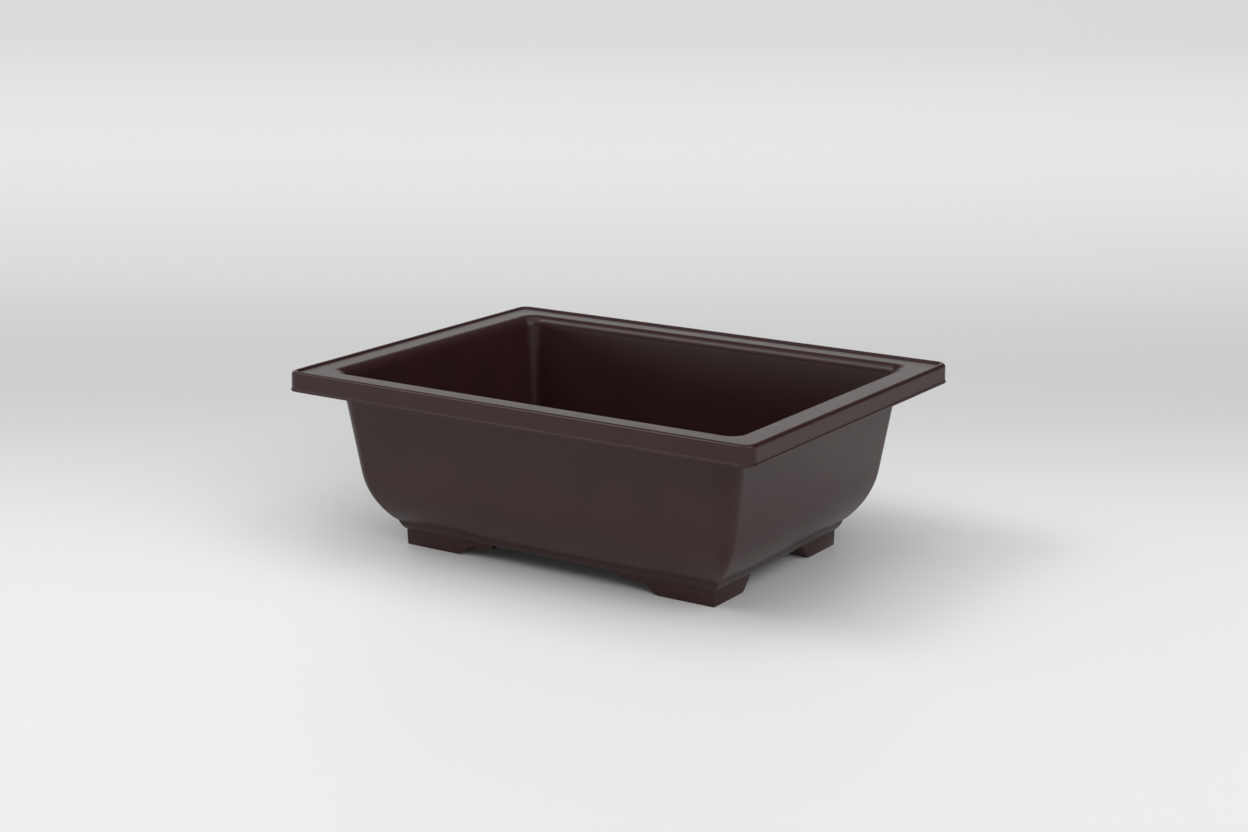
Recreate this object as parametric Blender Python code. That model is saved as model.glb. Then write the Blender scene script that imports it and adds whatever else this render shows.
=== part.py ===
"""A rectangular bonsai training pot: one plastic moulding on four corner feet, with a mesh
screen over each of its two drain holes and a bent-wire clip that holds each screen.

X runs along the long side, Y along the short side and Z up. The origin is on the ground, under
the middle of the pot. Lengths are in metres.
"""

import math

import bmesh
import bpy

MM = 0.001

# Driving dimensions
RIM_LENGTH = 250 * MM
RIM_WIDTH = 191 * MM
HEIGHT = 87.5 * MM
WALL = 2.2 * MM
GAP = 0.3 * MM  # between pieces that touch

# Rim: a flat top with a low bead round its outer edge, and a band that hangs from it.
# An inset is how far inside the rim's outermost outline a line runs, on all four sides.
BEAD_HEIGHT = 1.0 * MM
BEAD_TOP_INSET = 2.6 * MM
BEAD_FOOT_INSET = 4.7 * MM
TOP_FACE_Z = HEIGHT - BEAD_HEIGHT
BAND_HEIGHT = 9.3 * MM
BAND_Z = HEIGHT - BAND_HEIGHT
BAND_INSET = 0.4 * MM
BAND_TOP_INSET = 0.5 * MM
LIP_HEIGHT = 1.0 * MM
LIP_EDGE = 0.2 * MM  # chamfer on the lip's edges
RIM_CORNER = 6.2 * MM
MOUTH_INSET = 12.9 * MM  # where the flat top starts to round over into the mouth

# Wall: straight and leaning, then an arc that turns in under the pot.
LEAN = math.radians(8.5)
ARC_TOP_Z = 37.0 * MM
ARC_TOP_INSET = 22.6 * MM
ARC_RADIUS = 41 * MM
CORNER_INSET = 14.9 * MM  # the inset at which the next two corner radii hold
WALL_CORNER = 9.8 * MM
WALL_CORNER_LOSS = 0.45  # how fast that radius shrinks as the wall turns in
INNER_CORNER = 7.5 * MM
INNER_CORNER_LOSS = 0.15
LEAST_CORNER = 1 * MM

# Base: a bowed moulding under the arc, a narrow ledge under that, and the floor.
BASE_Z = 8.1 * MM
MOULDING_TOP_Z = 12.2 * MM
MOULDING_ROUND = 11 * MM
LEDGE_INSET = 38.3 * MM
FLOOR_THICKNESS = 2.8 * MM
FLOOR_Z = BASE_Z + FLOOR_THICKNESS

# Feet: L-shaped in plan, hollow from below, with cut-away ends.
# A reach is a distance along the side from the foot's outer corner.
FOOT_INSET = 39.3 * MM
FOOT_DEPTH = 12 * MM
FOOT_WALL = 2.5 * MM
FOOT_ROOT = 1 * MM  # how far the feet run up into the floor
POCKET_ROOF = 1.4 * MM  # material between a foot's hollow and the underside of the base
LONG_REACH = 29.5 * MM  # ground contact of the long leg
LONG_CURVE_REACH = 38.5 * MM
APRON_DEPTH = 3 * MM
APRON_REACH = 50.5 * MM  # the long leg runs on as a thin apron under the ledge
APRON_Z = 4.4 * MM
APRON_END_Z = 5.7 * MM
SHORT_REACH = 24.3 * MM
SHORT_CURVE_REACH = 34 * MM

# Drainage
DRAIN_X = 44 * MM
DRAIN_RADIUS = 11 * MM
TIE_HOLE_RADIUS = 2 * MM
TIE_HOLE_X = 16 * MM
TIE_HOLE_Y = 30 * MM
SCREEN_CELLS = 9
SCREEN_PITCH = 4.2 * MM
SCREEN_BAR = 1.2 * MM
SCREEN_THICKNESS = 1 * MM
WIRE_RADIUS = 0.6 * MM
WIRE_BEND = 2 * MM
LOOP_RADIUS = 4.5 * MM
LEG_X = 2 * SCREEN_PITCH  # each leg goes down through the second cell from the middle
LEG_REACH = 9 * MM  # how far each leg's end runs out under the floor

CUT_ROOM = 2 * MM  # how far a cutter runs past what it cuts
CORNER_STEPS = 6
ARC_STEPS = 8
ROUND_STEPS = 4
OGEE_STEPS = 6
HOLE_STEPS = 40
LOOP_STEPS = 24
BEND_STEPS = 5

PLASTIC_BROWN = (0.045, 0.030, 0.029)
MESH_BLACK = (0.02, 0.02, 0.02)
WIRE_METAL = (0.62, 0.60, 0.57)


def clear_scene():
    for obj in list(bpy.data.objects):
        bpy.data.objects.remove(obj)


def material(name, colour, roughness, metallic=0.0):
    made = bpy.data.materials.new(name)
    made.use_nodes = True
    shader = made.node_tree.nodes["Principled BSDF"]
    shader.inputs["Base Color"].default_value = (*colour, 1.0)
    shader.inputs["Roughness"].default_value = roughness
    shader.inputs["Metallic"].default_value = metallic
    made.diffuse_color = (*colour, 1.0)
    return made


def object_from(name, bm, finish=None):
    """Closes up a bmesh into a linked object with its faces pointing out."""
    bmesh.ops.recalc_face_normals(bm, faces=bm.faces)
    mesh = bpy.data.meshes.new(name)
    bm.to_mesh(mesh)
    bm.free()
    obj = bpy.data.objects.new(name, mesh)
    bpy.context.scene.collection.objects.link(obj)
    if finish:
        mesh.materials.append(finish)
        mesh.shade_smooth()
        mesh.set_sharp_from_angle(angle=math.radians(30))
    return obj


def helper(obj):
    """Marks a shape that only cuts or joins another one."""
    obj.hide_render = True
    obj.display_type = "WIRE"
    return obj


def boolean(target, tool, operation):
    change = target.modifiers.new(tool.name, "BOOLEAN")
    change.operation = operation
    change.object = helper(tool)


def arc_points(centre, radius_across, radius_up, start, end, steps):
    """Points (inset, z) on an elliptic arc. Angle 0 points inwards and a quarter turn points up."""
    return [
        (
            centre[0] + radius_across * math.cos(start + (end - start) * i / steps),
            centre[1] + radius_up * math.sin(start + (end - start) * i / steps),
        )
        for i in range(steps + 1)
    ]


def wall_arc(radius, lowest_z):
    """The wall's curved lower part, from lowest_z up to where the straight wall starts."""
    centre = (
        ARC_TOP_INSET + ARC_RADIUS * math.cos(LEAN),
        ARC_TOP_Z + ARC_RADIUS * math.sin(LEAN),
    )
    lowest = math.pi + math.asin((centre[1] - lowest_z) / radius)
    return arc_points(centre, radius, radius, lowest, math.pi + LEAN, ARC_STEPS)


def mouth_round():
    """The radius that rounds the flat top into the leaning inner wall, tangent to both."""
    inner_inset_at_top = (
        ARC_TOP_INSET - (TOP_FACE_Z - ARC_TOP_Z) * math.tan(LEAN) + WALL / math.cos(LEAN)
    )
    return (inner_inset_at_top - MOUTH_INSET) * math.cos(LEAN) / (1 - math.sin(LEAN))


def bowed_line(low, high, radius, steps):
    """Points (inset, z) from low to high on an arc that bulges out of the pot."""
    across, up = high[0] - low[0], high[1] - low[1]
    chord = math.hypot(across, up)
    rise = math.sqrt(radius**2 - chord**2 / 4)
    centre = (
        (low[0] + high[0]) / 2 + rise * up / chord,
        (low[1] + high[1]) / 2 - rise * across / chord,
    )
    start = math.atan2(low[1] - centre[1], low[0] - centre[0]) % (2 * math.pi)
    end = math.atan2(high[1] - centre[1], high[0] - centre[0]) % (2 * math.pi)
    return arc_points(centre, radius, radius, start, end, steps)


def ogee(start, end, steps):
    """An S-shaped line from start to end, level at both ends."""
    return [
        (
            start[0] + (end[0] - start[0]) * i / steps,
            start[1] + (end[1] - start[1]) * (1 - math.cos(math.pi * i / steps)) / 2,
        )
        for i in range(steps + 1)
    ]


def outer_corner(inset):
    return max(WALL_CORNER - WALL_CORNER_LOSS * (inset - CORNER_INSET), LEAST_CORNER)


def inner_corner(inset):
    return max(INNER_CORNER - INNER_CORNER_LOSS * (inset - CORNER_INSET), LEAST_CORNER)


def pot_profile():
    """The pot's section as (inset, z, corner radius), from under the base, up the outer side,
    over the rim and down the inner side to the floor."""
    outer_arc = wall_arc(ARC_RADIUS, MOULDING_TOP_Z)
    moulding = bowed_line((LEDGE_INSET, BASE_Z), outer_arc[0], MOULDING_ROUND, ROUND_STEPS)
    mouth_radius = mouth_round()
    mouth_centre = (MOUTH_INSET, TOP_FACE_Z - mouth_radius)
    under_radius = mouth_radius - WALL
    under_mouth = arc_points(
        mouth_centre, under_radius, under_radius, LEAN, math.pi / 2, ROUND_STEPS
    )
    outside = moulding[:-1] + outer_arc + under_mouth
    profile = [(inset, z, outer_corner(inset)) for inset, z in outside]

    band_inner = BAND_INSET + WALL
    under_rim = [
        (band_inner, TOP_FACE_Z - WALL),
        (band_inner, BAND_Z),
        (LIP_EDGE, BAND_Z),
        (0.0, BAND_Z + LIP_EDGE),
        (0.0, BAND_Z + LIP_HEIGHT - LIP_EDGE),
        (BAND_INSET, BAND_Z + LIP_HEIGHT + LIP_EDGE),
    ]
    bead_round = BEAD_TOP_INSET - BAND_TOP_INSET
    bead_top = arc_points(
        (BEAD_TOP_INSET, HEIGHT - bead_round),
        bead_round,
        bead_round,
        math.pi,
        math.pi / 2,
        ROUND_STEPS,
    )
    bead_inside = ogee((BEAD_TOP_INSET, HEIGHT), (BEAD_FOOT_INSET, TOP_FACE_Z), ROUND_STEPS)
    profile += [
        (inset, z, max(RIM_CORNER - inset, LEAST_CORNER))
        for inset, z in under_rim + bead_top + bead_inside[1:]
    ]

    inner_arc = wall_arc(ARC_RADIUS - WALL, FLOOR_Z)
    mouth = arc_points(
        mouth_centre, mouth_radius, mouth_radius, math.pi / 2, LEAN, ROUND_STEPS
    )
    profile += [(inset, z, inner_corner(inset)) for inset, z in mouth + inner_arc[::-1]]
    return profile


def rounded_rectangle(inset, z, corner):
    """Corner points of one level of the pot, anticlockwise from the +X +Y corner."""
    points = []
    for quarter in range(4):
        side_x = 1 if quarter in (0, 3) else -1
        side_y = 1 if quarter in (0, 1) else -1
        centre_x = side_x * (RIM_LENGTH / 2 - inset - corner)
        centre_y = side_y * (RIM_WIDTH / 2 - inset - corner)
        for step in range(CORNER_STEPS + 1):
            angle = (quarter + step / CORNER_STEPS) * math.pi / 2
            points.append(
                (
                    centre_x + corner * math.cos(angle),
                    centre_y + corner * math.sin(angle),
                    z,
                )
            )
    return points


def lofted(name, rings, finish=None):
    """A closed body through a row of rings with the same number of points."""
    bm = bmesh.new()
    rows = [[bm.verts.new(point) for point in ring] for ring in rings]
    for lower, upper in zip(rows, rows[1:]):
        for i in range(len(lower)):
            bm.faces.new((lower[i - 1], lower[i], upper[i], upper[i - 1]))
    bm.faces.new(rows[0])
    bm.faces.new(rows[-1])
    return object_from(name, bm, finish)


def cylinder(name, radius, x, y, bottom, top):
    rings = [
        [
            (
                x + radius * math.cos(2 * math.pi * i / HOLE_STEPS),
                y + radius * math.sin(2 * math.pi * i / HOLE_STEPS),
                z,
            )
            for i in range(HOLE_STEPS)
        ]
        for z in (bottom, top)
    ]
    return lofted(name, rings)


def foot_leg(name, outline, across, along_x, side_x, side_y):
    """One leg of a foot, or the hollow in it: an outline of (reach, z), extruded over the two
    distances in from the foot's outer face that across gives."""
    corner_x = RIM_LENGTH / 2 - FOOT_INSET
    corner_y = RIM_WIDTH / 2 - FOOT_INSET
    rings = []
    for inwards in across:
        if along_x:
            ring = [(side_x * (corner_x - d), side_y * (corner_y - inwards), z) for d, z in outline]
        else:
            ring = [(side_x * (corner_x - inwards), side_y * (corner_y - d), z) for d, z in outline]
        rings.append(ring)
    return lofted(name, rings)


def add_foot(pot, side_x, side_y):
    """Joins one L-shaped foot to the pot and hollows it from below."""
    tag = f"{'left' if side_x < 0 else 'right'}_{'front' if side_y < 0 else 'back'}"
    root_z = BASE_Z + FOOT_ROOT
    long_curve = ogee((LONG_REACH, 0.0), (LONG_CURVE_REACH, APRON_Z), OGEE_STEPS)
    short_curve = ogee((SHORT_REACH, 0.0), (SHORT_CURVE_REACH, BASE_Z), OGEE_STEPS)
    apron_end = [(APRON_REACH, APRON_END_Z), (APRON_REACH, root_z)]
    apron = [(0.0, 0.0), *long_curve, *apron_end, (0.0, root_z)]
    long_leg = [(0.0, 0.0), *long_curve, (LONG_CURVE_REACH, root_z), (0.0, root_z)]
    short_leg = [(0.0, 0.0), *short_curve, (SHORT_CURVE_REACH, root_z), (0.0, root_z)]
    for part, outline, depth, along_x in (
        ("apron", apron, APRON_DEPTH, True),
        ("long_leg", long_leg, FOOT_DEPTH, True),
        ("short_leg", short_leg, FOOT_DEPTH, False),
    ):
        leg = foot_leg(f"{tag}_{part}", outline, (0.0, depth), along_x, side_x, side_y)
        boolean(pot, leg, "UNION")

    roof = BASE_Z - POCKET_ROOF
    across = (FOOT_WALL, FOOT_DEPTH - FOOT_WALL)
    for part, reach, along_x in (
        ("long_pocket", LONG_REACH - FOOT_WALL, True),
        ("short_pocket", SHORT_REACH - FOOT_WALL, False),
    ):
        outline = [(FOOT_WALL, -CUT_ROOM), (reach, -CUT_ROOM), (reach, roof), (FOOT_WALL, roof)]
        pocket = foot_leg(f"{tag}_{part}", outline, across, along_x, side_x, side_y)
        boolean(pot, pocket, "DIFFERENCE")


def make_pot_body(finish):
    rings = [rounded_rectangle(*level) for level in pot_profile()]
    pot = lofted("pot_body", rings, finish)
    for side_x in (-1, 1):
        for side_y in (-1, 1):
            add_foot(pot, side_x, side_y)
    below = BASE_Z - CUT_ROOM
    above = FLOOR_Z + CUT_ROOM
    for side_x in (-1, 1):
        drain = cylinder(f"drain_{side_x}", DRAIN_RADIUS, side_x * DRAIN_X, 0.0, below, above)
        boolean(pot, drain, "DIFFERENCE")
        for side_y in (-1, 1):
            hole = cylinder(
                f"tie_hole_{side_x}_{side_y}",
                TIE_HOLE_RADIUS,
                side_x * TIE_HOLE_X,
                side_y * TIE_HOLE_Y,
                below,
                above,
            )
            boolean(pot, hole, "DIFFERENCE")
    return pot


def make_screen(name, x, finish):
    """A square plastic lattice that lies on the floor over a drain hole."""
    half = (SCREEN_CELLS * SCREEN_PITCH + SCREEN_BAR) / 2
    lines = []
    for cell in range(SCREEN_CELLS + 1):
        lines += [cell * SCREEN_PITCH - half, cell * SCREEN_PITCH - half + SCREEN_BAR]
    bm = bmesh.new()
    grid = [[bm.verts.new((a, b, 0.0)) for b in lines] for a in lines]
    for i in range(len(lines) - 1):
        for j in range(len(lines) - 1):
            if i % 2 and j % 2:
                continue
            bm.faces.new((grid[i][j], grid[i + 1][j], grid[i + 1][j + 1], grid[i][j + 1]))
    screen = object_from(name, bm, finish)
    screen.location = (x, 0.0, FLOOR_Z + GAP)
    solidify = screen.modifiers.new("thickness", "SOLIDIFY")
    solidify.thickness = SCREEN_THICKNESS
    solidify.offset = 1.0
    return screen


def clip_half_path():
    """One half of the clip's centre line, from its middle to the end of its leg."""
    rise = 2 * WIRE_RADIUS + 0.5 * MM
    loop_z = FLOOR_Z + GAP + SCREEN_THICKNESS + GAP + WIRE_RADIUS
    end_z = BASE_Z - GAP - WIRE_RADIUS
    loop_x = LEG_X - WIRE_BEND
    path = [(loop_x * i / 3, 0.0, loop_z + rise) for i in range(3)]
    for step in range(LOOP_STEPS + 1):
        turn = step / LOOP_STEPS
        angle = math.pi / 2 - 2 * math.pi * turn
        path.append(
            (
                loop_x + LOOP_RADIUS * math.cos(angle),
                -LOOP_RADIUS + LOOP_RADIUS * math.sin(angle),
                loop_z + rise * (1 - turn),
            )
        )
    for step in range(1, BEND_STEPS + 1):
        angle = math.pi / 2 * step / BEND_STEPS
        path.append(
            (
                loop_x + WIRE_BEND * math.sin(angle),
                0.0,
                loop_z - WIRE_BEND * (1 - math.cos(angle)),
            )
        )
    for step in range(BEND_STEPS + 1):
        angle = math.pi / 2 * step / BEND_STEPS
        path.append(
            (
                LEG_X + WIRE_BEND * (1 - math.cos(angle)),
                0.0,
                end_z + WIRE_BEND * (1 - math.sin(angle)),
            )
        )
    path.append((LEG_X + LEG_REACH, 0.0, end_z))
    return path


def make_clip(name, x, finish):
    """A piece of wire with a loop each side, whose legs go down through the screen and the hole."""
    half = clip_half_path()
    other = [(-a, -b, c) for a, b, c in half[:0:-1]]
    points = other + half
    curve = bpy.data.curves.new(name, "CURVE")
    curve.dimensions = "3D"
    spline = curve.splines.new("POLY")
    spline.points.add(len(points) - 1)
    for point, place in zip(spline.points, points):
        point.co = (*place, 1.0)
    curve.bevel_depth = WIRE_RADIUS
    curve.bevel_resolution = 2
    curve.use_fill_caps = True
    curve.materials.append(finish)
    clip = bpy.data.objects.new(name, curve)
    clip.location = (x, 0.0, 0.0)
    bpy.context.scene.collection.objects.link(clip)
    return clip


def main():
    clear_scene()
    make_pot_body(material("pot_plastic", PLASTIC_BROWN, 0.45))
    for side, name in ((-1, "left"), (1, "right")):
        screen_finish = material(f"{name}_screen_plastic", MESH_BLACK, 0.5)
        make_screen(f"{name}_drain_screen", side * DRAIN_X, screen_finish)
        wire_finish = material(f"{name}_clip_wire", WIRE_METAL, 0.35, 1.0)
        make_clip(f"{name}_screen_clip", side * DRAIN_X, wire_finish)


main()
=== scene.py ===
"""Looks for the rectangular bonsai pot: the moulding, its two drain screens and their wire clips.

X runs along the pot's long side, Y along its short side and Z up. Lengths are in metres. The
overall size is read from the frame, and an inset is a distance inside the rim's outermost outline.
"""

import math

import bmesh
import bpy
from mathutils import Matrix, Vector


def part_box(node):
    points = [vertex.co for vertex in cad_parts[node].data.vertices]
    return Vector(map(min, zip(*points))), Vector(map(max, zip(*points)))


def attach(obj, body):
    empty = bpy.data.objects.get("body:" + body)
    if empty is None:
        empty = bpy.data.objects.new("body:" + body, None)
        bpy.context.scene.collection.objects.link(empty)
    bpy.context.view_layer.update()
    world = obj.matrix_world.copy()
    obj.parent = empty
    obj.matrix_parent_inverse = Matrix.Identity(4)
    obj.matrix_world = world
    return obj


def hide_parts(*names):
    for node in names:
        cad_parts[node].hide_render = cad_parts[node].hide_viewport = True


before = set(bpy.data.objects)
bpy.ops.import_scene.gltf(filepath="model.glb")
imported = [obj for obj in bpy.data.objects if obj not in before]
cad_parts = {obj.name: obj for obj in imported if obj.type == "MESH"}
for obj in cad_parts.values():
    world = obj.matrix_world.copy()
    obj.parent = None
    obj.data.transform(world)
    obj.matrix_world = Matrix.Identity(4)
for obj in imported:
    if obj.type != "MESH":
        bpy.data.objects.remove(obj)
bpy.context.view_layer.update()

MM = 0.001

# Overall size, from the frame
POT_LOW, POT_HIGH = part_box("pot_body")
RIM_LENGTH = POT_HIGH[0] - POT_LOW[0]
RIM_WIDTH = POT_HIGH[1] - POT_LOW[1]
HEIGHT = POT_HIGH[2]
SCREEN_LOW, SCREEN_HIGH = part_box("right_drain_screen")
CLIP_LOW, CLIP_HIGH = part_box("right_screen_clip")

WALL = 2.2 * MM
GAP = 0.3 * MM  # between pieces that lie on each other
EDGE = 0.3 * MM  # the small round on the edges of the band, the ledge and the feet
HOLLOW_ROUND = 1 * MM  # the round in the hollow under the rim

# Rim
BEAD_HEIGHT = 1.0 * MM
BEAD_TOP_INSET = 2.2 * MM
BEAD_FOOT_INSET = 4.3 * MM
BEAD_ROUND = 1.65 * MM
TOP_FACE_Z = HEIGHT - BEAD_HEIGHT
BAND_HEIGHT = 9.3 * MM
BAND_Z = HEIGHT - BAND_HEIGHT
BAND_INSET = 0.4 * MM
BAND_TOP_INSET = 0.5 * MM
LIP_HEIGHT = 1.0 * MM
LIP_ROUND = 0.2 * MM
RIM_CORNER = 6.2 * MM
MOUTH_INSET = 12.9 * MM

# Wall
LEAN = math.radians(8.5)
ARC_TOP_Z = 37.0 * MM
ARC_TOP_INSET = 22.6 * MM
ARC_RADIUS = 41 * MM
CORNER_INSET = 14.9 * MM  # where WALL_CORNER and INNER_CORNER hold
WALL_CORNER = 9.8 * MM
WALL_CORNER_LOSS = 0.45  # what the radius loses for each unit of inset further in
INNER_CORNER = 7.5 * MM
INNER_CORNER_LOSS = 0.3
LEAST_CORNER = 1 * MM

# Base
BASE_Z = 8.1 * MM
MOULDING_TOP_Z = 12.2 * MM
MOULDING_ROUND = 11 * MM
LEDGE_INSET = 38.3 * MM
FLOOR_Z = SCREEN_LOW[2] - GAP
FLOOR_CORNER = 2 * MM  # the round between the inner wall and the floor
FLOOR_REACH = 3 * FLOOR_CORNER  # how far the floor's outermost loop of edges lies from its wall

# Feet. A reach is a distance along the side from the foot's outer corner.
FOOT_INSET = 39.3 * MM
FOOT_DRAFT = math.radians(1.5)
FOOT_DEPTH = 12 * MM
FOOT_WALL = 2.5 * MM
FOOT_ROOT = 1 * MM
POCKET_ROOF = 1.4 * MM
LONG_REACH = 29.5 * MM
LONG_CURVE_REACH = 38.5 * MM
APRON_DEPTH = 3 * MM
APRON_REACH = 50.5 * MM
APRON_Z = 4.4 * MM
APRON_END_Z = 5.7 * MM
SHORT_REACH = 24.3 * MM
SHORT_CURVE_REACH = 34 * MM

# Drainage
DRAIN_X = (SCREEN_LOW[0] + SCREEN_HIGH[0]) / 2
DRAIN_RADIUS = 11 * MM
TIE_HOLE_RADIUS = 2 * MM
TIE_HOLE_X = 16 * MM
TIE_HOLE_Y = 30 * MM
HOLE_CHAMFER = 0.5 * MM
SCREEN_CELLS = 9
SCREEN_BAR = 1.2 * MM
SCREEN_PITCH = (SCREEN_HIGH[0] - SCREEN_LOW[0] - SCREEN_BAR) / SCREEN_CELLS
WIRE_RADIUS = 0.6 * MM
WIRE_BEND = 2 * MM
LOOP_RADIUS = 4.5 * MM
LEG_X = 2 * SCREEN_PITCH
LEG_REACH = 9 * MM

# Fineness of the meshes
CORNER_STEPS = 16
ARC_STEPS = 28
ROUND_STEPS = 10
EDGE_STEPS = 3
OGEE_STEPS = 16
HOLE_STEPS = 72
LOOP_STEPS = 56
BEND_STEPS = 10
STRAIGHT_STEPS = 3
SUPPORT = 1.2 * MM  # how near a flat face's outermost loop of edges runs to its bend
CUT_ROOM = 2 * MM  # how far a cutting solid reaches past what it cuts
MERGE_DISTANCE = 0.001 * MM
SHARP_ANGLE = math.radians(28)
FOOT_EDGE_ANGLE = math.radians(40)  # a foot's edges sharper than this are rounded
SCREEN_ROUNDING = 2  # levels of subdivision
WIRE_ROUNDING = 6

# Colours, as linear red, green and blue
PLASTIC_DARK = (0.030, 0.0108, 0.0108)
PLASTIC_LIGHT = (0.034, 0.0124, 0.0121)
PLASTIC_FLECK = (0.040, 0.0165, 0.0160)
MESH_BLACK = (0.012, 0.012, 0.012)
MESH_DUST = (0.030, 0.028, 0.026)
WIRE_DARK = (0.60, 0.59, 0.57)
WIRE_LIGHT = (0.70, 0.69, 0.67)
PLASTIC_IOR = 1.34

# Stage
FLOOR_RADIUS = 9.0
FLOOR_SIDES = 96
FLOOR_ROUGHNESS = 0.55
AWAY = (-0.544, 0.839, 0.0)  # level, from the camera towards the pot
# Painted light and shade on the floor: the paper's shade at distances beyond the middle of the pot,
# away from the camera. It is palest at the pot, darker a little behind it where a paper sweep's
# shade would fall, and pale again further on.
PAINTED_FLOOR_SHADES = ((-0.4, 0.89), (0.0, 0.95), (0.3, 0.55), (0.7, 0.74), (1.5, 0.92), (3.0, 0.72))
PAINTED_SHADES_START = PAINTED_FLOOR_SHADES[0][0]
PAINTED_SHADES_END = PAINTED_FLOOR_SHADES[-1][0]
ROOM_LIGHT = 0.05
ALL_ROUND = 720  # the half width, in degrees, of a patch of light that goes all the way round
PLAIN_BACKGROUND = 0.75

# Camera. Its azimuth turns from +Y towards +X, and its pitch is how far it looks down.
CAMERA_PLACE = (0.56441, -0.86795, 0.32253)
CAMERA_AZIMUTH = math.radians(-32.968)
CAMERA_PITCH = math.radians(14.048)
CAMERA_ROLL = math.radians(0.208)
CAMERA_LENS = 65.0  # in mm, on a sensor 36 mm wide
CAMERA_SENSOR = 36.0


def object_from(name, bm):
    """Turns a bmesh into a linked object with its faces pointing out, and frees the bmesh."""
    bmesh.ops.recalc_face_normals(bm, faces=bm.faces)
    mesh = bpy.data.meshes.new(name)
    bm.to_mesh(mesh)
    bm.free()
    obj = bpy.data.objects.new(name, mesh)
    bpy.context.scene.collection.objects.link(obj)
    return obj


def boolean(target, tool, operation):
    """Sets up a boolean between two objects, which baked() then applies."""
    change = target.modifiers.new(tool.name, "BOOLEAN")
    change.operation = operation
    change.solver = "EXACT"
    change.object = tool


def baked(obj, tools=()):
    """Applies an object's modifiers and removes the tools that they used."""
    graph = bpy.context.evaluated_depsgraph_get()
    graph.update()
    mesh = bpy.data.meshes.new_from_object(obj.evaluated_get(graph))
    obj.modifiers.clear()
    obj.data = mesh
    for tool in tools:
        bpy.data.objects.remove(tool)
    return obj


def smooth(obj):
    obj.data.shade_smooth()
    obj.data.set_sharp_from_angle(angle=SHARP_ANGLE)


# Lines and outlines


def arc_points(centre, radius, start, end, steps):
    """Points (inset, z) on an arc. Angle 0 points inwards and a quarter turn points up."""
    angles = [start + (end - start) * i / steps for i in range(steps + 1)]
    return [(centre[0] + radius * math.cos(a), centre[1] + radius * math.sin(a)) for a in angles]


def bowed_line(low, high, radius, steps):
    """Points (inset, z) from low to high on an arc that bulges out of the pot."""
    across, up = high[0] - low[0], high[1] - low[1]
    chord = math.hypot(across, up)
    rise = math.sqrt(radius**2 - chord**2 / 4)
    centre = (
        (low[0] + high[0]) / 2 + rise * up / chord,
        (low[1] + high[1]) / 2 - rise * across / chord,
    )
    start = math.atan2(low[1] - centre[1], low[0] - centre[0]) % (2 * math.pi)
    end = math.atan2(high[1] - centre[1], high[0] - centre[0]) % (2 * math.pi)
    return arc_points(centre, radius, start, end, steps)


def ogee(start, end, steps):
    """An S-shaped line from start to end, level at both ends."""
    return [
        (
            start[0] + (end[0] - start[0]) * i / steps,
            start[1] + (end[1] - start[1]) * (1 - math.cos(math.pi * i / steps)) / 2,
        )
        for i in range(steps + 1)
    ]


def filleted(before, corner, after, radius, steps):
    """Points that round the corner between two straight runs."""
    corner = Vector(corner)
    back = (Vector(before) - corner).normalized()
    on = (Vector(after) - corner).normalized()
    half = back.angle(on) / 2
    reach = radius / math.tan(half)
    centre = corner + (back + on).normalized() * radius / math.sin(half)
    start = corner + back * reach - centre
    end = corner + on * reach - centre
    turn = start.angle(end)
    points = []
    for i in range(steps + 1):
        share = i / steps
        arm = start * math.sin(turn * (1 - share)) + end * math.sin(turn * share)
        points.append(tuple(centre + arm / math.sin(turn)))
    return points


def rounded_run(points, radii):
    """An open run of straight lines whose inner corners are rounded by the radii."""
    run = [points[0]]
    for before, corner, after, radius in zip(points, points[1:], points[2:], radii):
        run += filleted(before, corner, after, radius, EDGE_STEPS)
    return run + [points[-1]]


def between(start, end):
    """Two points just inside a straight run, which keep its face flat up to its ends."""
    start, end = Vector(start), Vector(end)
    step = (end - start).normalized() * SUPPORT
    return [tuple(start + step), tuple(end - step)]


# The moulding


def wall_arc(radius, lowest_z):
    """The wall's curved lower part, from lowest_z up to where the straight wall starts."""
    centre = (
        ARC_TOP_INSET + ARC_RADIUS * math.cos(LEAN),
        ARC_TOP_Z + ARC_RADIUS * math.sin(LEAN),
    )
    lowest = math.pi + math.asin((centre[1] - lowest_z) / radius)
    return arc_points(centre, radius, lowest, math.pi + LEAN, ARC_STEPS)


def mouth_round():
    """The radius that rounds the flat top into the leaning inner wall, tangent to both."""
    inner_inset_at_top = (
        ARC_TOP_INSET - (TOP_FACE_Z - ARC_TOP_Z) * math.tan(LEAN) + WALL / math.cos(LEAN)
    )
    return (inner_inset_at_top - MOUTH_INSET) * math.cos(LEAN) / (1 - math.sin(LEAN))


def outer_corner(inset):
    return max(WALL_CORNER - WALL_CORNER_LOSS * (inset - CORNER_INSET), LEAST_CORNER)


def inner_corner(inset):
    return max(INNER_CORNER - INNER_CORNER_LOSS * (inset - CORNER_INSET), LEAST_CORNER)


def rim_corner(inset):
    return max(RIM_CORNER - inset, LEAST_CORNER)


def outside_points():
    """The section's outer side, from under the base up to the underside of the rim."""
    arc = wall_arc(ARC_RADIUS, MOULDING_TOP_Z)
    moulding = bowed_line((LEDGE_INSET, BASE_Z), arc[0], MOULDING_ROUND, ROUND_STEPS)
    under_base = (LEDGE_INSET + SUPPORT, BASE_Z)
    ledge_edge = filleted(under_base, moulding[0], moulding[2], EDGE, EDGE_STEPS)
    radius = mouth_round()
    under_mouth = arc_points(
        (MOUTH_INSET, TOP_FACE_Z - radius), radius - WALL, LEAN, math.pi / 2, ROUND_STEPS
    )
    straight = between(arc[-1], under_mouth[0])
    return [under_base] + ledge_edge + moulding[2:-1] + arc + straight + under_mouth


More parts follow.
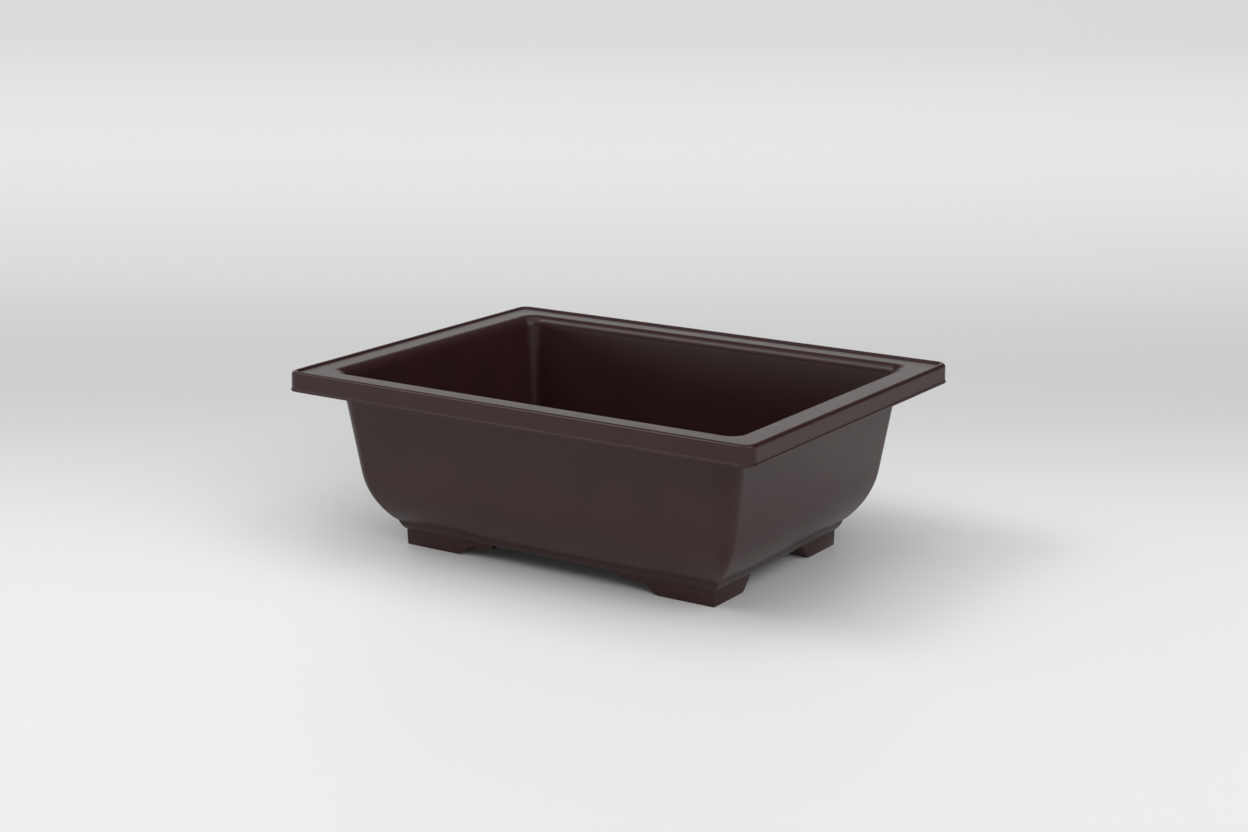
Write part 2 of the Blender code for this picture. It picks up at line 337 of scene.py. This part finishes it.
def rim_points():
    """The hollow under the rim, the band, its lip and the bead."""
    band_inner = BAND_INSET + WALL
    bead_centre = (BAND_TOP_INSET + BEAD_ROUND, HEIGHT - BEAD_ROUND)
    bead_edge = arc_points(bead_centre, BEAD_ROUND, math.pi, math.pi / 2, ROUND_STEPS)
    band = rounded_run(
        [
            (MOUTH_INSET, TOP_FACE_Z - WALL),
            (band_inner, TOP_FACE_Z - WALL),
            (band_inner, BAND_Z),
            (0.0, BAND_Z),
            (0.0, BAND_Z + LIP_HEIGHT),
            (BAND_INSET, BAND_Z + LIP_HEIGHT),
            bead_edge[0],
        ],
        [HOLLOW_ROUND, EDGE, LIP_ROUND, LIP_ROUND, LIP_ROUND / 2],
    )
    face = between(band[-2], bead_edge[0])
    bead_inside = ogee((BEAD_TOP_INSET, HEIGHT), (BEAD_FOOT_INSET, TOP_FACE_Z), ROUND_STEPS)
    flat_top = between(bead_inside[-1], (MOUTH_INSET, TOP_FACE_Z))
    return band[1:-1] + face + bead_edge + bead_inside + flat_top


def inside_points():
    """The section's inner side, from the mouth down to the floor."""
    arc = wall_arc(ARC_RADIUS - WALL, FLOOR_Z)[::-1]
    radius = mouth_round()
    mouth = arc_points(
        (MOUTH_INSET, TOP_FACE_Z - radius), radius, math.pi / 2, LEAN, ROUND_STEPS
    )
    straight = between(mouth[-1], arc[0])
    floor_end = (arc[-1][0] + FLOOR_REACH, FLOOR_Z)
    floor_round = filleted(arc[-3], arc[-1], floor_end, FLOOR_CORNER, ROUND_STEPS)
    wall = [point for point in arc if point[1] > floor_round[0][1]]
    return mouth + straight + wall + floor_round + [floor_end]


def ring(inset, z, corner):
    """One level of the pot, anticlockwise, with a support point at both ends of each side."""
    half_x, half_y = RIM_LENGTH / 2 - inset - corner, RIM_WIDTH / 2 - inset - corner
    points = []
    for quarter in range(4):
        turn = Matrix.Rotation(quarter * math.pi / 2, 2)
        side_x = 1 if quarter in (0, 3) else -1
        side_y = 1 if quarter in (0, 1) else -1
        local = [(corner, -SUPPORT)]
        for step in range(CORNER_STEPS + 1):
            angle = step / CORNER_STEPS * math.pi / 2
            local.append((corner * math.cos(angle), corner * math.sin(angle)))
        local.append((-SUPPORT, corner))
        for point in local:
            x, y = turn @ Vector(point)
            points.append((side_x * half_x + x, side_y * half_y + y, z))
    return points


def lofted(name, rings):
    """A closed body through a row of rings with the same number of points."""
    bm = bmesh.new()
    rows = [[bm.verts.new(point) for point in level] for level in rings]
    for lower, upper in zip(rows, rows[1:]):
        for i in range(len(lower)):
            bm.faces.new((lower[i - 1], lower[i], upper[i], upper[i - 1]))
    bm.faces.new(rows[0])
    bm.faces.new(rows[-1])
    return object_from(name, bm)


def foot_solid(name, levels, side_x, side_y):
    """A solid through levels of points (reach along X, reach along Y, z) from a foot's corner. A
    reach of 0 lies on the foot's outer face, which leans out by the draft."""
    corner_x = RIM_LENGTH / 2 - FOOT_INSET
    corner_y = RIM_WIDTH / 2 - FOOT_INSET
    rings = []
    for level in levels:
        points = []
        for reach_x, reach_y, z in level:
            face = (BASE_Z / 2 - z) * math.tan(FOOT_DRAFT)
            across, along = reach_x or face, reach_y or face
            points.append((side_x * (corner_x - across), side_y * (corner_y - along), z))
        rings.append(points)
    return lofted(name, rings)


def foot_plan():
    """The foot's L shape from above, with the thin apron that runs on along the long side."""
    return [
        (0.0, 0.0),
        (APRON_REACH, 0.0),
        (APRON_REACH, APRON_DEPTH),
        (LONG_CURVE_REACH, APRON_DEPTH),
        (LONG_CURVE_REACH, FOOT_DEPTH),
        (FOOT_DEPTH, FOOT_DEPTH),
        (FOOT_DEPTH, SHORT_CURVE_REACH),
        (0.0, SHORT_CURVE_REACH),
    ]


def pocket_plan():
    """The L-shaped hollow under a foot, one wall inside its outline."""
    far = FOOT_DEPTH - FOOT_WALL
    long_end, short_end = LONG_REACH - FOOT_WALL, SHORT_REACH - FOOT_WALL
    return [
        (FOOT_WALL, FOOT_WALL),
        (long_end, FOOT_WALL),
        (long_end, far),
        (far, far),
        (far, short_end),
        (FOOT_WALL, short_end),
    ]


def make_foot(side_x, side_y):
    """One L-shaped foot with S-curved ends, hollow from below and with rounded edges."""
    long_curve = ogee((LONG_REACH, 0.0), (LONG_CURVE_REACH, APRON_Z), OGEE_STEPS)
    short_curve = ogee((SHORT_REACH, 0.0), (SHORT_CURVE_REACH, BASE_Z), OGEE_STEPS)
    apron_slope = (APRON_END_Z - APRON_Z) / (APRON_REACH - LONG_CURVE_REACH)
    apron_end = (APRON_REACH + CUT_ROOM, APRON_END_Z + CUT_ROOM * apron_slope)
    short_end = (SHORT_CURVE_REACH + CUT_ROOM, BASE_Z)
    tools = []
    for name, curve, end, along_x in (
        ("long_end", long_curve, apron_end, True),
        ("short_end", short_curve, short_end, False),
    ):
        outline = [(curve[0][0], -CUT_ROOM), *curve, end, (end[0], -CUT_ROOM)]
        levels = [
            [(reach, across, z) if along_x else (across, reach, z) for reach, z in outline]
            for across in (-CUT_ROOM, FOOT_DEPTH + CUT_ROOM)
        ]
        tools.append(foot_solid(name, levels, side_x, side_y))
    heights = (-CUT_ROOM, BASE_Z - POCKET_ROOF)
    pocket = [[(a, b, z) for a, b in pocket_plan()] for z in heights]
    tools.append(foot_solid("pocket", pocket, side_x, side_y))
    body = [[(a, b, z) for a, b in foot_plan()] for z in (0.0, BASE_Z + FOOT_ROOT)]
    foot = foot_solid(f"foot_{side_x}_{side_y}", body, side_x, side_y)
    for tool in tools:
        boolean(foot, tool, "DIFFERENCE")
    baked(foot, tools)
    rounds = foot.modifiers.new("edges", "BEVEL")
    rounds.width = EDGE
    rounds.segments = EDGE_STEPS
    rounds.limit_method = "ANGLE"
    rounds.angle_limit = FOOT_EDGE_ANGLE
    return baked(foot)


def hole_cutter(name, radius, places):
    """Cutters for round holes whose two edges are chamfered."""
    levels = (
        (BASE_Z - CUT_ROOM, radius + HOLE_CHAMFER + CUT_ROOM),
        (BASE_Z + HOLE_CHAMFER, radius),
        (FLOOR_Z - HOLE_CHAMFER, radius),
        (FLOOR_Z + CUT_ROOM, radius + HOLE_CHAMFER + CUT_ROOM),
    )
    angles = [2 * math.pi * i / HOLE_STEPS for i in range(HOLE_STEPS)]
    turns = [(math.cos(angle), math.sin(angle)) for angle in angles]
    bm = bmesh.new()
    for x, y in places:
        rows = [
            [bm.verts.new((x + reach * a, y + reach * b, z)) for a, b in turns]
            for z, reach in levels
        ]
        for lower, upper in zip(rows, rows[1:]):
            for i in range(HOLE_STEPS):
                bm.faces.new((lower[i - 1], lower[i], upper[i], upper[i - 1]))
        bm.faces.new(rows[0])
        bm.faces.new(rows[-1])
    return object_from(name, bm)


def make_moulding():
    """The whole pot as one closed mesh: walls, rim, floor, holes and feet."""
    levels = [(inset, z, outer_corner(inset)) for inset, z in outside_points()]
    levels += [(inset, z, rim_corner(inset)) for inset, z in rim_points()]
    levels += [(inset, z, inner_corner(inset)) for inset, z in inside_points()]
    pot = lofted("moulded_pot", [ring(*level) for level in levels])
    sides = (-1, 1)
    drains = [(side * DRAIN_X, 0.0) for side in sides]
    ties = [(a * TIE_HOLE_X, b * TIE_HOLE_Y) for a in sides for b in sides]
    drain_cutter = hole_cutter("drains", DRAIN_RADIUS, drains)
    tools = [drain_cutter, hole_cutter("ties", TIE_HOLE_RADIUS, ties)]
    for tool in tools:
        boolean(pot, tool, "DIFFERENCE")
    for side_x in sides:
        for side_y in sides:
            foot = make_foot(side_x, side_y)
            boolean(pot, foot, "UNION")
            tools.append(foot)
    baked(pot, tools)
    smooth(pot)
    return pot


# The screens and their clips


def make_screen(name, x):
    """A square of extruded mesh: round bars that melt into each other where they cross."""
    half = (SCREEN_CELLS * SCREEN_PITCH + SCREEN_BAR) / 2
    lines = []
    for cell in range(SCREEN_CELLS + 1):
        start = cell * SCREEN_PITCH - half
        lines += [start, start + SCREEN_BAR]
    bm = bmesh.new()
    layers = [
        [[bm.verts.new((x + a, b, z)) for b in lines] for a in lines]
        for z in (SCREEN_LOW[2], SCREEN_HIGH[2])
    ]
    count = len(lines) - 1

    def solid(i, j):
        return 0 <= i < count and 0 <= j < count and not (i % 2 and j % 2)

    for i in range(count):
        for j in range(count):
            if not solid(i, j):
                continue
            corners = ((i, j), (i + 1, j), (i + 1, j + 1), (i, j + 1))
            for layer in layers:
                bm.faces.new([layer[a][b] for a, b in corners])
            beyond = ((i, j - 1), (i + 1, j), (i, j + 1), (i - 1, j))
            for side in range(4):
                if solid(*beyond[side]):
                    continue
                (a, b), (c, d) = corners[side], corners[(side + 1) % 4]
                low, high = layers
                bm.faces.new((low[a][b], low[c][d], high[c][d], high[a][b]))
    bmesh.ops.delete(bm, geom=[v for v in bm.verts if not v.link_faces], context="VERTS")
    screen = object_from(name, bm)
    rounding = screen.modifiers.new("rounding", "SUBSURF")
    rounding.levels = SCREEN_ROUNDING
    rounding.render_levels = SCREEN_ROUNDING
    screen.data.shade_smooth()
    return screen


def clip_half_path():
    """One half of the clip's centre line, from its middle to the end of its leg."""
    top_z = CLIP_HIGH[2] - WIRE_RADIUS
    loop_z = SCREEN_HIGH[2] + GAP + WIRE_RADIUS
    end_z = CLIP_LOW[2] + WIRE_RADIUS
    loop_x = LEG_X - WIRE_BEND
    path = [(loop_x * i / STRAIGHT_STEPS, 0.0, top_z) for i in range(STRAIGHT_STEPS)]
    for step in range(LOOP_STEPS + 1):
        turn = step / LOOP_STEPS
        angle = math.pi / 2 - 2 * math.pi * turn
        path.append(
            (
                loop_x + LOOP_RADIUS * math.cos(angle),
                -LOOP_RADIUS + LOOP_RADIUS * math.sin(angle),
                top_z + (loop_z - top_z) * turn,
            )
        )
    quarter = [math.pi / 2 * step / BEND_STEPS for step in range(BEND_STEPS + 1)]
    for angle in quarter[1:]:
        across, down = WIRE_BEND * math.sin(angle), WIRE_BEND * (1 - math.cos(angle))
        path.append((loop_x + across, 0.0, loop_z - down))
    for angle in quarter:
        across, up = WIRE_BEND * (1 - math.cos(angle)), WIRE_BEND * (1 - math.sin(angle))
        path.append((LEG_X + across, 0.0, end_z + up))
    path.append((LEG_X + LEG_REACH, 0.0, end_z))
    return path


def make_clip(name, x):
    """A piece of drawn wire with a loop each side, whose legs turn out under the floor."""
    half = clip_half_path()
    points = [(-a, -b, c) for a, b, c in half[:0:-1]] + half
    curve = bpy.data.curves.new(name, "CURVE")
    curve.dimensions = "3D"
    spline = curve.splines.new("POLY")
    spline.points.add(len(points) - 1)
    for point, (a, b, c) in zip(spline.points, points):
        point.co = (x + a, b, c, 1.0)
    curve.bevel_depth = WIRE_RADIUS
    curve.bevel_resolution = WIRE_ROUNDING
    curve.use_fill_caps = True
    guide = bpy.data.objects.new(f"{name}_guide", curve)
    bpy.context.scene.collection.objects.link(guide)
    graph = bpy.context.evaluated_depsgraph_get()
    graph.update()
    bm = bmesh.new()
    bm.from_mesh(guide.evaluated_get(graph).to_mesh())
    bmesh.ops.remove_doubles(bm, verts=bm.verts, dist=MERGE_DISTANCE)
    bpy.data.objects.remove(guide)
    clip = object_from(name, bm)
    smooth(clip)
    return clip


# Materials


class Finish:
    """A procedural material under construction: its nodes read the object's own coordinates."""

    def __init__(self, name):
        self.material = bpy.data.materials.new(name)
        self.material.use_nodes = True
        self.nodes = self.material.node_tree.nodes
        self.links = self.material.node_tree.links
        self.shader = self.nodes["Principled BSDF"]
        self.place = self.nodes.new("ShaderNodeTexCoord").outputs["Object"]

    def set(self, **values):
        """Gives the shader values that are the same all over the surface."""
        for name, value in values.items():
            self.shader.inputs[name.replace("_", " ")].default_value = value

    def noise(self, scale, detail=2.0, stretch=(1.0, 1.0, 1.0)):
        """Noise whose features are about 1 / scale metres across."""
        mapping = self.nodes.new("ShaderNodeMapping")
        mapping.inputs["Scale"].default_value = stretch
        self.links.new(self.place, mapping.inputs["Vector"])
        texture = self.nodes.new("ShaderNodeTexNoise")
        texture.inputs["Scale"].default_value = scale
        texture.inputs["Detail"].default_value = detail
        self.links.new(mapping.outputs["Vector"], texture.inputs["Vector"])
        return texture.outputs["Fac"]

    def remap(self, value, low=0.0, high=1.0, start=0.3, end=0.7):
        """The value's range from start to end, turned into the range from low to high."""
        node = self.nodes.new("ShaderNodeMapRange")
        node.inputs["From Min"].default_value = start
        node.inputs["From Max"].default_value = end
        node.inputs["To Min"].default_value = low
        node.inputs["To Max"].default_value = high
        self.links.new(value, node.inputs["Value"])
        return node.outputs["Result"]

    def colour_mix(self, factor, first, second):
        """A colour between two others, each given as a socket or as three numbers."""
        node = self.nodes.new("ShaderNodeMix")
        node.data_type = "RGBA"
        factor_socket, first_socket, second_socket = node.inputs[0], node.inputs[6], node.inputs[7]
        self.links.new(factor, factor_socket)
        for socket, colour in ((first_socket, first), (second_socket, second)):
            if isinstance(colour, tuple):
                socket.default_value = (*colour, 1.0)
            else:
                self.links.new(colour, socket)
        return node.outputs[2]

    def bump(self, height, distance, under=None):
        """The surface's direction after a bump of this height, laid over another one if given."""
        node = self.nodes.new("ShaderNodeBump")
        node.inputs["Distance"].default_value = distance
        node.inputs["Strength"].default_value = 1.0
        self.links.new(height, node.inputs["Height"])
        if under:
            self.links.new(under, node.inputs["Normal"])
        return node.outputs["Normal"]

    def drive(self, name, socket):
        """Lets a socket set one of the shader's inputs."""
        self.links.new(socket, self.shader.inputs[name])


def pot_plastic():
    """Satin plum-brown plastic, with a fine moulded grain and faint cloudiness in its colour."""
    finish = Finish("pot_plastic")
    finish.set(IOR=PLASTIC_IOR)
    cloud = finish.remap(finish.noise(scale=45, detail=3.0))
    fleck = finish.remap(finish.noise(scale=1400, detail=1.0), start=0.66, end=0.80)
    body = finish.colour_mix(cloud, PLASTIC_DARK, PLASTIC_LIGHT)
    finish.drive("Base Color", finish.colour_mix(fleck, body, PLASTIC_FLECK))
    worn = finish.noise(scale=70, detail=2.0)
    finish.drive("Roughness", finish.remap(worn, low=0.28, high=0.31))
    wave = finish.bump(finish.noise(scale=30, detail=0.0), distance=0.02 * MM)
    grain = finish.noise(scale=2600, detail=1.0)
    finish.drive("Normal", finish.bump(grain, distance=0.002 * MM, under=wave))
    return finish.material


def screen_mesh():
    """Black extruded plastic mesh."""
    finish = Finish("screen_mesh")
    dust = finish.remap(finish.noise(scale=300, detail=3.0), start=0.5, end=0.8)
    finish.drive("Base Color", finish.colour_mix(dust, MESH_BLACK, MESH_DUST))
    finish.drive("Roughness", finish.remap(finish.noise(scale=500), low=0.42, high=0.60))
    finish.drive("Normal", finish.bump(finish.noise(scale=1800), distance=0.02 * MM))
    return finish.material


def clip_wire():
    """Dull aluminium wire with the lengthwise marks of the die that drew it."""
    finish = Finish("clip_wire")
    finish.set(Metallic=1.0)
    haze = finish.remap(finish.noise(scale=400, detail=3.0))
    finish.drive("Base Color", finish.colour_mix(haze, WIRE_DARK, WIRE_LIGHT))
    dullness = finish.noise(scale=900, detail=3.0)
    finish.drive("Roughness", finish.remap(dullness, low=0.28, high=0.42))
    marks = finish.noise(scale=2500, detail=1.0, stretch=(0.1, 1.0, 1.0))
    finish.drive("Normal", finish.bump(marks, distance=0.01 * MM))
    return finish.material


# Stage, lights and camera


def make_floor():
    """A wide round floor that fills the view. Its colour carries painted shade and light: it shades
    off a little behind the pot, where a studio's paper sweep would turn up into shade, and grows
    pale again further on."""
    bm = bmesh.new()
    bmesh.ops.create_circle(bm, cap_ends=True, radius=FLOOR_RADIUS, segments=FLOOR_SIDES)
    floor = object_from("studio_floor", bm)
    finish = Finish("floor_paper_painted_shade")
    finish.set(Roughness=FLOOR_ROUGHNESS)
    along = finish.nodes.new("ShaderNodeVectorMath")
    along.operation = "DOT_PRODUCT"
    along.inputs[1].default_value = AWAY
    finish.links.new(finish.place, along.inputs[0])
    # Painted shade and light: the floor's colour follows the distance away from the camera
    ramp = finish.nodes.new("ShaderNodeValToRGB")
    ramp.color_ramp.interpolation = "B_SPLINE"
    elements = ramp.color_ramp.elements
    while len(elements) < len(PAINTED_FLOOR_SHADES):
        elements.new(0.5)
    for element, (distance, shade) in zip(elements, PAINTED_FLOOR_SHADES):
        element.position = (distance - PAINTED_SHADES_START) / (PAINTED_SHADES_END - PAINTED_SHADES_START)
        element.color = (shade, shade, shade, 1.0)
    position = finish.remap(along.outputs["Value"], start=PAINTED_SHADES_START, end=PAINTED_SHADES_END)
    finish.links.new(position, ramp.inputs["Fac"])
    finish.drive("Base Color", ramp.outputs["Color"])
    floor.data.materials.append(finish.material)


class Surroundings:
    """The studio round the pot, as soft patches of light at an azimuth and an elevation. An
    azimuth here turns from +Y towards +X."""

    def __init__(self):
        world = bpy.data.worlds.new("studio")
        world.use_nodes = True
        bpy.context.scene.world = world
        self.nodes = world.node_tree.nodes
        self.links = world.node_tree.links
        direction = self.nodes.new("ShaderNodeSeparateXYZ")
        generated = self.nodes.new("ShaderNodeTexCoord").outputs["Generated"]
        self.links.new(generated, direction.inputs["Vector"])
        x, y, z = direction.outputs
        self.elevation = self.calculate("ARCSINE", z)
        self.azimuth = self.calculate("ARCTAN2", x, y)
        self.light = self.calculate("ADD", ROOM_LIGHT, 0.0)

    def calculate(self, operation, *values):
        """The result of a Math node on numbers and sockets."""
        node = self.nodes.new("ShaderNodeMath")
        node.operation = operation
        for socket, value in zip(node.inputs, values):
            if isinstance(value, (int, float)):
                socket.default_value = value
            else:
                self.links.new(value, socket)
        return node.outputs["Value"]

    def falloff(self, offset, half, gain):
        """1 in the middle of a patch, falling to 0 at its edge. A gain over 1 widens the middle."""
        share = self.calculate("DIVIDE", self.calculate("ABSOLUTE", offset), half)
        rise = self.calculate("MULTIPLY", self.calculate("SUBTRACT", 1.0, share), gain)
        return self.calculate("MINIMUM", self.calculate("MAXIMUM", rise, 0.0), 1.0)

    def patch(self, azimuth, elevation, half_width, half_height, level):
        """Adds a patch of light. The four angles are in degrees."""
        azimuth, elevation = math.radians(azimuth), math.radians(elevation)
        offset = self.calculate("SUBTRACT", self.azimuth, azimuth)
        turn = self.calculate("WRAP", offset, math.pi, -math.pi)
        rise = self.calculate("SUBTRACT", self.elevation, elevation)
        across = self.falloff(turn, math.radians(half_width), gain=2.0)
        up = self.falloff(rise, math.radians(half_height), gain=1.0)
        glow = self.calculate("MULTIPLY", self.calculate("MULTIPLY", across, up), level)
        self.light = self.calculate("ADD", self.light, glow)

    def finish(self):
        """Lights the scene with the patches, and shows the camera one plain pale tone."""
        seen = self.nodes.new("ShaderNodeLightPath").outputs["Is Camera Ray"]
        shown = self.nodes.new("ShaderNodeMix")
        self.links.new(seen, shown.inputs["Factor"])
        self.links.new(self.light, shown.inputs["A"])
        shown.inputs["B"].default_value = PLAIN_BACKGROUND
        self.links.new(shown.outputs["Result"], self.nodes["Background"].inputs["Strength"])
        self.nodes["Background"].inputs["Color"].default_value = (1.0, 1.0, 1.0, 1.0)


def make_lights():
    """Soft light from low in front, from the right and from above, with a weak left side."""
    studio = Surroundings()
    studio.patch(azimuth=180, elevation=0, half_width=95, half_height=15, level=2.6)
    # Behind on the left, where the rim's flat top mirrors it
    studio.patch(azimuth=300, elevation=15, half_width=70, half_height=15, level=1.15)
    # On the right, where the pot's inner corner mirrors it
    studio.patch(azimuth=108, elevation=30, half_width=36, half_height=13, level=4.2)
    studio.patch(azimuth=240, elevation=34, half_width=50, half_height=18, level=0.6)
    studio.patch(azimuth=150, elevation=54, half_width=115, half_height=18, level=1.4)
    studio.patch(azimuth=92, elevation=51, half_width=40, half_height=18, level=1.4)
    # Front left, where the rim's bead mirrors it
    studio.patch(azimuth=238, elevation=51, half_width=27, half_height=14, level=5.8)
    studio.patch(azimuth=150, elevation=72, half_width=ALL_ROUND, half_height=20, level=1.3)
    studio.patch(azimuth=0, elevation=90, half_width=ALL_ROUND, half_height=20, level=1.0)
    studio.finish()


def make_camera():
    """A long-lens view from the right of the front, a little above the rim."""
    heading = Vector((math.sin(CAMERA_AZIMUTH), math.cos(CAMERA_AZIMUTH), 0.0))
    forward = heading * math.cos(CAMERA_PITCH) - Vector((0.0, 0.0, math.sin(CAMERA_PITCH)))
    level = Vector((heading.y, -heading.x, 0.0))
    upright = level.cross(forward)
    right = level * math.cos(CAMERA_ROLL) + upright * math.sin(CAMERA_ROLL)
    up = upright * math.cos(CAMERA_ROLL) - level * math.sin(CAMERA_ROLL)
    turn = Matrix((right, up, -forward)).transposed()
    data = bpy.data.cameras.new("camera")
    data.lens = CAMERA_LENS
    data.sensor_width = CAMERA_SENSOR
    camera = bpy.data.objects.new("camera", data)
    camera.matrix_world = Matrix.Translation(CAMERA_PLACE) @ turn.to_4x4()
    bpy.context.scene.collection.objects.link(camera)
    bpy.context.scene.camera = camera


def add_piece(piece, node, finish):
    piece.data.materials.clear()
    piece.data.materials.append(finish)
    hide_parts(node)
    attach(piece, "root")


bpy.context.scene.view_settings.view_transform = "Standard"
make_camera()
make_floor()
make_lights()
add_piece(make_moulding(), "pot_body", pot_plastic())
mesh_finish = screen_mesh()
wire_finish = clip_wire()
for side, name in ((-1, "left"), (1, "right")):
    screen = make_screen(f"{name}_screen_mesh", side * DRAIN_X)
    add_piece(screen, f"{name}_drain_screen", mesh_finish)
    clip = make_clip(f"{name}_wire_clip", side * DRAIN_X)
    add_piece(clip, f"{name}_screen_clip", wire_finish)
